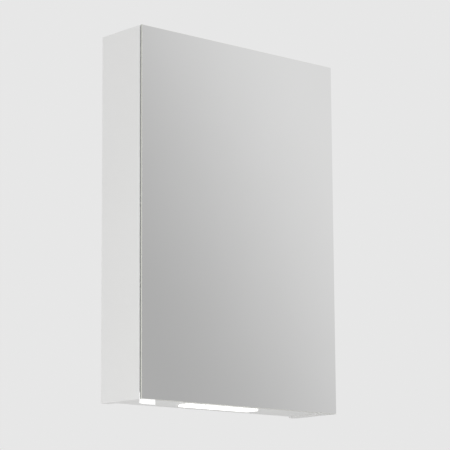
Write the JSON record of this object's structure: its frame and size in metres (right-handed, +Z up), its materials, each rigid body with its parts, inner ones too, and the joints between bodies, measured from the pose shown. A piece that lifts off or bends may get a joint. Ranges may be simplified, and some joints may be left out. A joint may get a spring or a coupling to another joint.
{
  "type": "mirror cabinet",
  "caption": "Wall-hung mirror cabinet: frameless double mirror door on linkage hinges, glass shelves, lamp under the bottom panel, hook-on wall hangers.",
  "frame": {"origin": "on the wall plane, midway between the four screw holes of the two wall plates", "axes": "+X to the right as seen from in front, +Y from the door towards the wall, +Z up"},
  "size_m": [0.5, 0.122, 0.7195],
  "materials": {
    "board": "white melamine facing, satin",
    "back_sheet": "white lacquered fibreboard",
    "dowel": "beech",
    "mirror": "silvered float glass",
    "film": "bonding film",
    "grip": "white moulding",
    "buffer": "clear soft moulding",
    "shelf_glass": "clear float glass, ground edges",
    "plated_steel": "nickel plated",
    "zinc_steel": "zinc plated sheet",
    "white_plastic": "fine textured moulding",
    "tray_metal": "mill finish",
    "strip": "white solder mask and phosphor",
    "lens": "opal, lit",
    "lead": "white sheath",
    "switch": "white moulding"
  },
  "bodies": {
    "carcass": {"left_side_panel": "board", "right_side_panel": "board", "top_panel": "board", "bottom_panel": "board", "back_panel": "back_sheet", "corner_dowels": "dowel", "door_buffers": "buffer", "glass_shelf_lower": "shelf_glass", "glass_shelf_upper": "shelf_glass", "shelf_pins": "plated_steel", "hanger_box_left": "zinc_steel", "hanger_hook_left": "zinc_steel", "wall_plate_left": "zinc_steel", "hanger_cap_left": "white_plastic", "hanger_box_right": "zinc_steel", "hanger_hook_right": "zinc_steel", "wall_plate_right": "zinc_steel", "hanger_cap_right": "white_plastic", "hanger_screws": "zinc_steel", "lamp_tray": "tray_metal", "lamp_strip": "strip", "lamp_lens": "lens", "driver_case": "white_plastic", "driver_lid": "white_plastic", "driver_screws": "zinc_steel", "lamp_lead": "lead", "switch_frame": "switch", "hinge_plate_lower": "plated_steel", "hinge_arm_lower": "plated_steel", "hinge_plate_upper": "plated_steel", "hinge_arm_upper": "plated_steel", "hinge_arm_rivets": "zinc_steel", "hinge_plate_screws": "zinc_steel", "hinge_arm_screws": "zinc_steel"},
    "outer_links": {"hinge_outer_link_lower": "plated_steel", "hinge_outer_link_upper": "plated_steel"},
    "inner_links": {"hinge_inner_link_lower": "plated_steel", "hinge_inner_link_upper": "plated_steel"},
    "door": {"front_mirror": "mirror", "mirror_bond_film": "film", "rear_mirror": "mirror", "door_grip": "grip", "hinge_cup_lower": "plated_steel", "hinge_cup_upper": "plated_steel", "hinge_cup_rivets": "zinc_steel"},
    "rocker": {"rocker": "switch"}
  },
  "joints": [
    {"name": "outer_links_swing", "type": "hinge", "parent": "carcass", "child": "outer_links", "pos_m": [0.1981, -0.1066, -0.289], "axis": [0, 0, -1], "range_deg": [0, 66.47]},
    {"name": "door_swing", "type": "hinge", "parent": "outer_links", "child": "door", "pos_m": [0.2295, -0.10965, -0.289], "axis": [0, 0, 1], "range_deg": [0, 156.42]},
    {"name": "inner_links_swing", "type": "hinge", "parent": "carcass", "child": "inner_links", "pos_m": [0.1699, -0.0825, -0.289], "axis": [0, 0, -1], "range_deg": [0, 43.7]},
    {"name": "rocker_tilt", "type": "hinge", "parent": "carcass", "child": "rocker", "pos_m": [0.204, -0.021, -0.545], "axis": [-1, 0, 0], "range_deg": [0, 20]}
  ],
  "couplings": [
    {"joint": "outer_links_swing", "follows": "door_swing", "ratio": 0.42463},
    {"joint": "inner_links_swing", "follows": "door_swing", "ratio": 0.27906}
  ]
}
